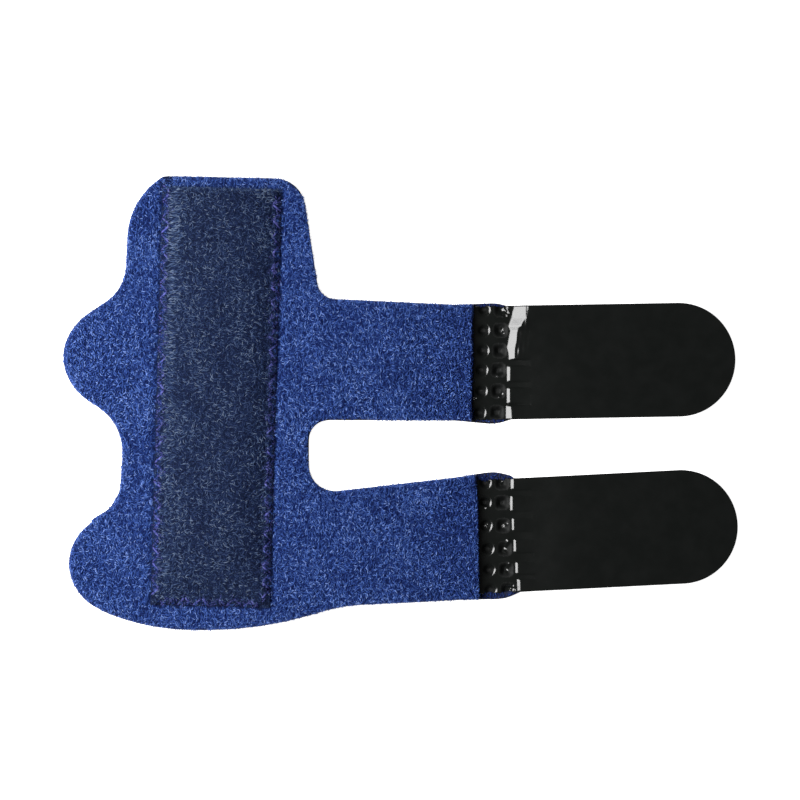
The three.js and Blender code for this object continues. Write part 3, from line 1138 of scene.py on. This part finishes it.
def seam_fuzz(tips, surface, materials):
    """Short blue, navy and violet fibres that the needle has dragged along the seams, and dark ones bunched
    at the rim holes as painted shade.
    """
    rng = np.random.default_rng(66)
    spots = []
    for side in tips:
        for a, b in zip(side[:-1], side[1:]):
            along = rng.uniform(0, 1, (FUZZ_PER_LEG, 1))
            spots.append(a + (b - a) * along + rng.normal(0, FUZZ_SPREAD, (FUZZ_PER_LEG, 2)))
    local = np.vstack(spots)
    holes = rim_holes(tips)
    gaps = np.linalg.norm(local[:, None] - holes, axis=2).min(1)
    # Dark strands at the rim holes paint the holes' shade
    dark = np.repeat(holes, HOLE_FIBRES, axis=0)
    dark = dark + rng.normal(0, HOLE_SPREAD, dark.shape)
    local = np.vstack([local[gaps > FUZZ_HOLE], dark])
    count = len(local)
    heading = rng.uniform(0, math.pi, count)
    length = rng.uniform(*FUZZ_LENGTH, count)
    paths = curled(from_pocket(local), heading, length, rng.normal(0, FUZZ_CURL, count))
    lift = rng.uniform(*FUZZ_LIFT, (count, 1)) + FUZZ_ARCH * arch_lift(rng, count)
    paths = laid_on(paths, surface, lift)
    left = local[:, 0] < -POCKET_HALF_WIDTH + STITCH_INNER
    inner = sewn_inset(local) > np.where(left, *FUZZ_NAVY_FROM)
    # The left seam's darker mix is painted shade in the groove beside the pocket
    kinds = [rng.choice(len(materials), count, p=mix) for mix in (FUZZ_LEFT_SHADED, FUZZ_OUTER, FUZZ_INNER)]
    index = np.where(inner, kinds[2], np.where(left, kinds[0], kinds[1]))
    index[-len(dark):] = HOLE_PAINTED_SHADE
    return strand_mesh("seam_fuzz", paths, FUZZ_RADIUS, NAP_SIDES, materials, index)


# Short straight threads that show pale: first and last pixel of each
PALE_ROWS_TOP = (((255, 190.6), (278, 190.2)), ((255, 194.6), (278, 194.3)), ((256, 197.8), (277, 197.4)))
PALE_ROWS_FOOT = (((155, 592), (160.5, 591)), ((155, 595.5), (160.5, 594.6)), ((155.2, 599), (160, 598.4)))
CORNER_KNOT = (168, 179.5)
DASH = 0.9
DASH_GAP = 0.1
TACK_POINTS = 6
TACK_SIDES = 5
TACK_LIFT = 0.4
TACK_DIP = (0.3, 3)
TACK_RADIUS = 0.055
KNOT_COUNT = 70
KNOT_SPREAD = 0.32
KNOT_LENGTH = (0.3, 0.7)
KNOT_CURL = 1.5
KNOT_LIFT = (0.24, 0.44)
KNOT_RADIUS = 0.06


def corner_knot(surface, dark):
    """The dark thread ends at the left seam's upper end."""
    rng = np.random.default_rng(67)
    places = photo(*CORNER_KNOT) + rng.normal(0, KNOT_SPREAD, (KNOT_COUNT, 2))
    heading = rng.uniform(0, math.pi, KNOT_COUNT)
    length = rng.uniform(*KNOT_LENGTH, KNOT_COUNT)
    paths = curled(places, heading, length, rng.normal(0, KNOT_CURL, KNOT_COUNT))
    paths = laid_on(paths, surface, rng.uniform(*KNOT_LIFT, (KNOT_COUNT, 1)))
    return strand_mesh("corner_knot", paths, KNOT_RADIUS, NAP_SIDES, [dark])


def bar_tacks(tips, pale):
    """Rows of tight stitches at the mouth's right corner and at the lower left corner."""
    legs = []
    share = np.linspace(0, 1, TACK_POINTS)
    surface = pocket_surface(tips)
    for first, last in PALE_ROWS_TOP + PALE_ROWS_FOOT:
        start = photo(*first)
        leg = photo(*last) - start
        length = np.linalg.norm(leg)
        for at in np.arange(0, length - DASH, DASH + DASH_GAP):
            flat = start + leg / length * (at + DASH * share[:, None])
            height = surface(flat) + TACK_LIFT - TACK_DIP[0] * np.abs(2 * share - 1) ** TACK_DIP[1]
            legs.append(np.column_stack([flat, height]))
    return strand_mesh("bar_tacks", np.array(legs), TACK_RADIUS, TACK_SIDES, [pale])


MOUTH_COUNT = 700
MOUTH_INSET = 0.12
MOUTH_SPREAD = 0.14
MOUTH_TURN = 0.7
MOUTH_LENGTH = (0.3, 0.8)
MOUTH_CURL = 0.6
MOUTH_LIFT = (0.05, 0.08)
# Shares of the five navies at the mouth, leaning pale as a painted highlight along the cut edge
MOUTH_LIT_SHADES = (0.15, 0.3, 0.3, 0.18, 0.07)
MOUTH_RADIUS = 0.045


def mouth_edge(tips, fibres):
    """The cut edge of the pocket's mouth: frayed ends along it, in shades that lean paler than the pile's
    as a painted highlight along the edge.
    """
    rng = np.random.default_rng(71)
    across = rng.uniform(-POCKET_HALF_WIDTH, POCKET_HALF_WIDTH, MOUTH_COUNT)
    along = POCKET_HALF_LENGTH - MOUTH_INSET + rng.normal(0, MOUTH_SPREAD, MOUTH_COUNT)
    local = np.stack([across, along], 1)
    heading = rng.normal(0, MOUTH_TURN, MOUTH_COUNT) + POCKET_LEAN
    length = rng.uniform(*MOUTH_LENGTH, MOUTH_COUNT)
    paths = curled(from_pocket(local), heading, length, rng.normal(0, MOUTH_CURL, MOUTH_COUNT))
    lift = MOUTH_LIFT[0] + MOUTH_LIFT[1] * rng.random((MOUTH_COUNT, 1))
    paths = laid_on(paths, pocket_surface(tips), lift)
    shade = rng.choice(len(fibres), MOUTH_COUNT, p=MOUTH_LIT_SHADES)
    return strand_mesh("mouth_edge", paths, MOUTH_RADIUS, NAP_SIDES, fibres, shade)


# Tabs


TAB_RIM_STEP = 0.22
TAB_NOSE_POINTS = 130
TAB_END_INSET = 0.05
TAB_END_WAVE = 0.12


def tab_outline():
    """The tab's rim in its own frame, anticlockwise from its lower weld corner."""
    straight = TAB_LENGTH - TAB_HALF
    along = np.arange(TAB_CORNER, straight, TAB_RIM_STEP)
    lower = np.stack([along, np.full(len(along), -TAB_HALF)], 1)
    angle = np.linspace(-math.pi / 2, math.pi / 2, TAB_NOSE_POINTS)
    nose = np.stack([straight + TAB_HALF * np.cos(angle), TAB_HALF * np.sin(angle)], 1)
    upper = np.stack([along[::-1], np.full(len(along), TAB_HALF)], 1)
    across = np.arange(TAB_HALF - TAB_CORNER, -TAB_HALF + TAB_CORNER, -TAB_RIM_STEP)
    wave = np.cos(math.tau * across / PIT_PITCH)
    end = np.stack([-TAB_END_INSET - TAB_END_WAVE * wave, across], 1)
    corner = TAB_CORNER * (1 - math.sqrt(0.5))
    first = [(corner, -TAB_HALF + corner)]
    last = [(corner, TAB_HALF - corner)]
    return np.vstack([first, lower, nose, upper, last, end])


# A pit's wall: distances from its middle and the slope at each
PIT_RADII = (0, 0.15, 0.25, 0.84, 0.94, 1.2, 1.42, 9)
PIT_SLOPES = (0, 0, 0.85, 0.95, 0.62, 0.2, 0, 0)
PIT_REACH = 1.5
PIT_SAMPLES = 301


def pit_profile():
    """Depth of a pit against the distance from its middle: flat floor, steep wall, soft rim."""
    fine = np.linspace(0, PIT_REACH, PIT_SAMPLES)
    steps = np.interp(fine, PIT_RADII, PIT_SLOPES) * (fine[1] - fine[0])
    return fine, steps[::-1].cumsum()[::-1]


# The lit crescent at the right rim of each pit in the first column, as pixels
PRESS_ROWS = {
    "upper": ((490.1, 309.5), (489.5, 330.2), (488.8, 350.6), (487.5, 370), (487, 391), (485.6, 412.6)),
    "lower": ((491.2, 482.8), (491, 502.7), (491.8, 525.7), (493.6, 548.8), (495, 569.8), (496.6, 590.2)),
}


# Ridges inside the pits that catch the light: first and last pixel
PIT_RIDGES = {
    "upper": (
        ((501.5, 328), (503.6, 332.5)),
        ((476.5, 398.5), (480.5, 397)),
        ((499.5, 396.5), (502.5, 393)),
        ((498, 375.5), (502, 373.5)),
    ),
    "lower": (
        ((504.8, 551), (508.6, 541)),
        ((506.3, 572.5), (509.4, 564)),
        ((503.5, 526.5), (507, 524)),
        ((501.4, 484), (502.8, 482)),
        ((482, 506), (486.5, 507)),
        ((485, 526.5), (487, 525)),
    ),
}


def ridge_gaps(points, strap):
    """Distance from each point to the nearest ridge in a pit."""
    nearest = np.full(len(points), np.inf)
    for first, last in PIT_RIDGES[strap.name]:
        start = photo(*first)
        leg = photo(*last) - start
        share = np.clip((points - start) @ leg / (leg @ leg), 0, 1)
        nearest = np.minimum(nearest, np.linalg.norm(points - start - share[:, None] * leg, axis=1))
    return nearest


def pit_centres(strap):
    """The middles of both columns of pits."""
    rims = np.array([photo(*pixel) for pixel in PRESS_ROWS[strap.name]])
    first = rims - np.array([PIT_LIT_RIM, 0])
    return first, first + np.array([PIT_SPACING, 0])


# Unevenness of the press: widths and depths of the pits, small dents in each, and the ridges
PRESS_WIDTHS = (0.97, 1.03)
PRESS_DEPTHS = (0.9, 1.05)
DENTS = 4
DENT_SPREAD = 0.4
DENT_DEPTH = 0.1
DENT_REACH = 0.24
RIDGE_HEIGHT = 0.2
RIDGE_REACH = 0.26
RIDGE_CLEAR = 0.2


def rounded(gaps, power):
    """Distance from a pit's middle, measured to suit its rounded square shape."""
    return (np.abs(gaps) ** power).sum(1) ** (1 / power)


def press_marks(points, strap, rng):
    """How deep the press has marked the tab at each point."""
    fine, depth = pit_profile()
    mark = np.zeros(len(points))
    for centres, power in zip(pit_centres(strap), PIT_POWERS):
        for centre in centres:
            radius = rounded((points - centre) / rng.uniform(*PRESS_WIDTHS), power)
            mark += rng.uniform(*PRESS_DEPTHS) * np.interp(radius, fine, depth)
            for _ in range(DENTS):
                dent = centre + rng.normal(0, DENT_SPREAD, 2)
                mark += rng.uniform(-DENT_DEPTH, DENT_DEPTH) * bell(gaps_to(dent, points), DENT_REACH)
    return mark - RIDGE_HEIGHT * bell(ridge_gaps(points, strap), RIDGE_REACH)


def paint_pits(piece, strap):
    """Gives the rough floors of the pits the second material, darker than the plastic as painted shade in
    the pits.
    """
    places = face_middles(piece.data)
    matt_shaded = np.zeros(len(places), bool)
    for centres, reach, power in zip(pit_centres(strap), MATT_SHADED_REACH, PIT_POWERS):
        for centre in centres:
            matt_shaded |= rounded(places - centre, power) < reach
    pixel, reach = KNURL_SPOTS[strap.name]
    matt_shaded &= gaps_to(photo(*pixel), places) > reach
    matt_shaded &= ridge_gaps(places, strap) > RIDGE_CLEAR
    piece.data.polygons.foreach_set("material_index", matt_shaded.astype(np.int32))


# The steep band where each tab rises from its weld, as pixels: y, left edge and right edge.
# Where both edges meet the band is broken
LIFT_BANDS = {
    "upper": (
        (300, 514.5, 527),
        (307, 514, 526.8),
        (318, 511.4, 526),
        (326, 508.6, 521.2),
        (331, 510.4, 517.8),
        (334, 509.6, 516.6),
        (346, 507.6, 515.8),
        (353, 508.6, 515.5),
        (359, 509, 515),
        (360, 509, 509),
        (365.5, 509, 509),
        (366.5, 507.2, 510.2),
        (381, 507.2, 510),
        (382, 509, 509),
        (387.3, 509, 509),
        (388.3, 507, 509.9),
        (403, 507, 509.9),
        (404, 508.5, 508.5),
        (404.8, 508.5, 508.5),
        (405.8, 506.2, 510.8),
        (418.7, 506, 512),
        (425, 506, 512),
    ),
    "lower": (
        (470, 511, 513.9),
        (489.5, 511, 513.7),
        (490.3, 512.5, 512.5),
        (495.8, 512, 512),
        (496.6, 510.4, 512.6),
        (511, 510.4, 512.6),
        (511.8, 512, 512),
        (518.2, 513, 513),
        (519, 511.8, 514),
        (531, 512.2, 514.2),
        (531.8, 514, 514),
        (539.2, 514.5, 514.5),
        (540, 513.6, 516),
        (552.4, 513.8, 516.2),
        (553.2, 515.5, 515.5),
        (562.2, 516.5, 516.5),
        (563, 515.4, 517.8),
        (574, 515.6, 518),
        (574.8, 517.5, 517.5),
        (579.2, 518, 518),
        (580, 517, 520.2),
        (600, 517.8, 520.8),
    ),
}
# Spots where the press has left its knurl: pixel and reach
KNURL_SPOTS = {"upper": ((504, 311), 0.95), "lower": ((510.5, 589), 0.8)}
BAND_SLOPE = 0.36
GENTLE_RUN = 11.0
BLEND_RUN = 5.5
BLEND_PX = np.linspace(-9, 9, 7)
NARROWEST_PX = 0.5
RAMP_EASE = 0.15
KNURL_RISE = 0.06
KNURL_WAVES = (0.55, 83, 16)
TAB_RELIEF = (0.012, 11.0, 82)
TAB_ROLL = 0.18
TAB_ROLL_DROP = 0.1
# The wide band fades out into the tab in streaks: band widths in pixels, relief, length and run
FADE_WIDTHS = (4.5, 8.0)
STREAKS = (0.04, 0.6, 84)
STREAK_ONSET = 0.2
STREAK_LENGTH = 0.14
STREAK_RUN = 1.1


def tab_height(strap):
    """Height of the tab's outer face as a function of the plane."""
    bands = np.array(LIFT_BANDS[strap.name])
    pixel, reach = KNURL_SPOTS[strap.name]
    spot = photo(*pixel)

    def height(points):
        rng = np.random.default_rng(81)
        local = strap.tab_place(points)
        x_px, y_px = pixels(points)
        left, right = (np.interp(y_px, bands[:, 0], bands[:, k]) for k in (1, 2))
        width = right - left
        nearby = np.interp(y_px[:, None] + BLEND_PX, bands[:, 0], bands[:, 2] - bands[:, 1]).mean(1)
        along = (x_px - left) / np.maximum(width, NARROWEST_PX)
        beyond = (x_px - right) / PIXELS_PER_MM
        reached = width + (nearby - width) * smooth(0, 1, beyond / BLEND_RUN)
        climb = BAND_SLOPE / PIXELS_PER_MM * reached
        climb *= soft_ramp(along, RAMP_EASE) * (1 - smooth(0, 1, beyond / GENTLE_RUN))
        fade = smooth(*FADE_WIDTHS, width) * np.exp(-np.maximum(beyond, 0) / STREAK_RUN)
        streaks = waves(points * np.array([1, STREAK_LENGTH]), *STREAKS)
        climb += streaks * fade * smooth(-STREAK_ONSET, STREAK_ONSET, beyond)
        surface = WELD_TOP + climb + (TAB_TOP - WELD_TOP) * smooth(0, 1, beyond / GENTLE_RUN)
        surface -= press_marks(points, strap, rng)
        rough = bell(gaps_to(spot, points), reach)
        surface += KNURL_RISE * rough * waves(points, 1, *KNURL_WAVES)
        surface += waves(points, *TAB_RELIEF)
        inside = TAB_HALF - np.abs(local[:, 1])
        roll = np.clip(1 - inside / TAB_ROLL, 0, 1)
        return surface - TAB_ROLL_DROP * (1 - np.sqrt(1 - roll**2))

    return height


def soft_ramp(share, ease):
    """0 to 1 in a straight slope with eased ends."""
    low = np.clip(share + ease, 0, 2 * ease) ** 2 / (4 * ease)
    middle = np.clip(share - ease, 0, 1 - 2 * ease)
    high = 2 * ease - np.clip(1 + ease - share, 0, 2 * ease)
    last = high - high**2 / (4 * ease)
    return np.clip(low + middle + last, 0, 1)


# The tabs' meshes: insets from the rim, steps and rows
WELD_INSET = 0.12
FREE_GAP = 0.4
FREE_INSET = 1
FREE_STEP = 1.1
TAB_ROWS = (0.07, 0.18)
TAB_RIM_GAP = 0.1
UNDER_INSET = 0.5
UNDER_STEP = 1.4
UNDER_RIM_GAP = 0.3
UNDERSIDE_RISE = (6.2, 8.2)
TAB_THINNEST = 0.05


def tab_grid(start, end, inset, step):
    """Grid points in a tab's own frame, inset from its long sides."""
    return grid_points((start, -TAB_HALF + inset), (end, TAB_HALF - inset), step)


def tab_piece(strap, materials):
    loop = strap.from_tab(tab_outline())
    height = tab_height(strap)

    def within(local, gap):
        placed = strap.from_tab(local)
        return placed[depth_in(placed, loop) > gap]

    def underside(points):
        rise = smooth(*UNDERSIDE_RISE, strap.tab_place(points)[:, 0])
        return WELD_UNDERSIDE + (TAB_UNDERSIDE - WELD_UNDERSIDE) * rise

    def top(points):
        return np.maximum(height(points), underside(points) + TAB_THINNEST)

    rows = rings_inside(loop, lambda points: depth_in(points, loop), TAB_ROWS)
    weld = tab_grid(WELD_INSET, WELD_MESHED, WELD_INSET, WELD_STEP)
    free = tab_grid(WELD_MESHED + FREE_GAP, TAB_LENGTH - FREE_INSET, FREE_INSET, FREE_STEP)
    upper = np.vstack([rows, within(np.vstack([weld, free]), TAB_RIM_GAP)])
    coarse = tab_grid(UNDER_INSET, TAB_LENGTH - UNDER_INSET, UNDER_INSET, UNDER_STEP)
    lower = within(coarse, UNDER_RIM_GAP)
    piece = layer_mesh(f"{strap.name}_tab", loop, upper, lower, top, underside, materials)
    paint_pits(piece, strap)
    return piece


# Hooks: where the rows start and stop, then each hook's run out and height, radii and sides
HOOKS_START = 9.6
HOOKS_STOP = 0.9
HOOKS_INSET = 0.8
HOOKS_STEP = 1.25
HOOKS_NOSE_INSET = 0.7
HOOK_PATH = ((0, 1.0), (0, 0.75), (0.02, 0.45), (0.14, 0.18), (0.36, 0.1), (0.5, 0.26))
HOOK_RADII = (0.2, 0.16, 0.13, 0.1)
HOOK_SIZES = (0.95, 1.05)
HOOK_SIDES = 5


def hook_field(strap, plastic):
    """Moulded hooks in rows under the tab's free part."""
    rng = np.random.default_rng(91)
    local = tab_grid(HOOKS_START, TAB_LENGTH - HOOKS_STOP, HOOKS_INSET, HOOKS_STEP)
    nose = np.hypot(np.maximum(local[:, 0] - TAB_LENGTH + TAB_HALF, 0), local[:, 1])
    local = local[nose < TAB_HALF - HOOKS_NOSE_INSET]
    count = len(local)
    facing = np.where(np.arange(count) % 2, 1.0, -1.0)
    paths = np.empty((count, len(HOOK_PATH), 3))
    for number, (out, height) in enumerate(HOOK_PATH):
        placed = local + np.stack([facing * out, np.zeros(count)], 1)
        paths[:, number, :2] = strap.from_tab(placed)
        paths[:, number, 2] = height
    radii = np.array(HOOK_RADII) * rng.uniform(*HOOK_SIZES, (count, 1))
    return strand_mesh(f"{strap.name}_hooks", paths, radii, HOOK_SIDES, [plastic])


# Stage


FLOOR_HALF = 1.6
FLOOR_HEIGHT = -2e-4
FLOOR_COLOUR = (0.88, 0.88, 0.88)
FLOOR_ROUGHNESS = 0.9
FLOOR_GLOSS = 0.5
FLOOR_GLOW = 1.0
WHITE = (1, 1, 1, 1)
WORLD_STRENGTH = 0.07
CAMERA_DISTANCE = 0.9
FOCUS_HEIGHT = 2.0
SENSOR = 36.0


def pale_floor():
    mesh = bpy.data.meshes.new("floor")
    signs = ((-1, -1), (1, -1), (1, 1), (-1, 1))
    corners = [(x * FLOOR_HALF, y * FLOOR_HALF, FLOOR_HEIGHT) for x, y in signs]
    mesh.from_pydata(corners, [], [(0, 1, 2, 3)])
    material = plain("pale_floor", FLOOR_COLOUR, FLOOR_ROUGHNESS, FLOOR_GLOSS)
    shader = material.node_tree.nodes["Principled BSDF"]
    shader.inputs["Emission Color"].default_value = WHITE
    shader.inputs["Emission Strength"].default_value = FLOOR_GLOW
    mesh.materials.append(material)
    floor = bpy.data.objects.new("floor", mesh)
    bpy.context.scene.collection.objects.link(floor)


def area_light(name, azimuth, elevation, distance, size, energy):
    """A soft light that looks at the frame's origin."""
    light = bpy.data.lights.new(name, "AREA")
    light.shape = "RECTANGLE"
    light.size, light.size_y = size
    light.energy = energy
    lamp = bpy.data.objects.new(name, light)
    turn, rise = math.radians(azimuth), math.radians(elevation)
    way = Vector((math.cos(turn) * math.cos(rise), math.sin(turn) * math.cos(rise), math.sin(rise)))
    lamp.location = way * distance
    lamp.rotation_euler = way.to_track_quat("Z", "Y").to_euler()
    bpy.context.scene.collection.objects.link(lamp)


def studio():
    area_light(
        "key_softbox", azimuth=174, elevation=50, distance=0.27, size=(0.15, 0.23), energy=1.9
    )
    world = bpy.data.worlds.new("studio")
    world.use_nodes = True
    background = world.node_tree.nodes["Background"]
    background.inputs["Color"].default_value = WHITE
    background.inputs["Strength"].default_value = WORLD_STRENGTH
    bpy.context.scene.world = world
    bpy.context.scene.view_settings.view_transform = "Standard"


def camera():
    """Straight above, far enough for a long lens."""
    field = PICTURE_PX / PIXELS_PER_MM * MM
    lens = bpy.data.cameras.new("camera")
    lens.sensor_width = SENSOR
    lens.lens = SENSOR * CAMERA_DISTANCE / field
    middle = photo(PICTURE_PX / 2, PICTURE_PX / 2)
    view = bpy.data.objects.new("camera", lens)
    view.location = (middle[0] * MM, middle[1] * MM, CAMERA_DISTANCE + FOCUS_HEIGHT * MM)
    bpy.context.scene.collection.objects.link(view)
    bpy.context.scene.camera = view


def riding(pieces):
    for piece in pieces:
        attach(piece, "root")


def main():
    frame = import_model()
    camera()
    studio()
    pale_floor()
    outline = panel_outline(frame)
    low, high = outline.min(0) - FIELD_MARGIN, outline.max(0) + FIELD_MARGIN
    coarse = resampled(outline, COARSE_STEP)
    depth = Field(low, high, lambda points: depth_in(points, coarse))
    ground = facing_ground(depth)
    tips = stitch_tips()

    backing = backing_piece(outline, depth, foam_material())
    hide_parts("body_backing")
    riding([backing])

    blues = blue_fibres()
    facing = facing_piece(outline, depth, ground, [blue_ground_material(), crushed_material()])
    pile = main_pile((outline.min(0), outline.max(0)), depth, ground, tips, blues)
    edge = fringe(facing_loop(outline), ground, blues)
    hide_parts("body_facing")
    riding([facing, *pile, edge])

    navies = navy_fibres()
    cloth = pocket_piece(tips, [navy_ground_material()])
    nap = pocket_pile(tips, navies)
    seam = seam_piece(tips, thread_material())
    tacks = bar_tacks(tips, navies[4])
    sewn = sewn_surface(tips, ground)
    knot = corner_knot(sewn, navies[0])
    mouth = mouth_edge(tips, navies)
    fuzz = seam_fuzz(tips, sewn, [*blues[:4], *navies[:2], seam.data.materials[0]])
    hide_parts("stay_pocket")
    riding([cloth, *nap, mouth])
    for piece in (seam, tacks, fuzz, knot):
        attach(piece, "root")

    plastic = plastic_material()
    matt_shaded = pressed_shaded_material()
    for strap in STRAPS:
        tab = tab_piece(strap, [plastic, matt_shaded])
        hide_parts(f"{strap.name}_hook_tab")
        riding([tab, hook_field(strap, plastic)])

    bpy.context.view_layer.update()


main()
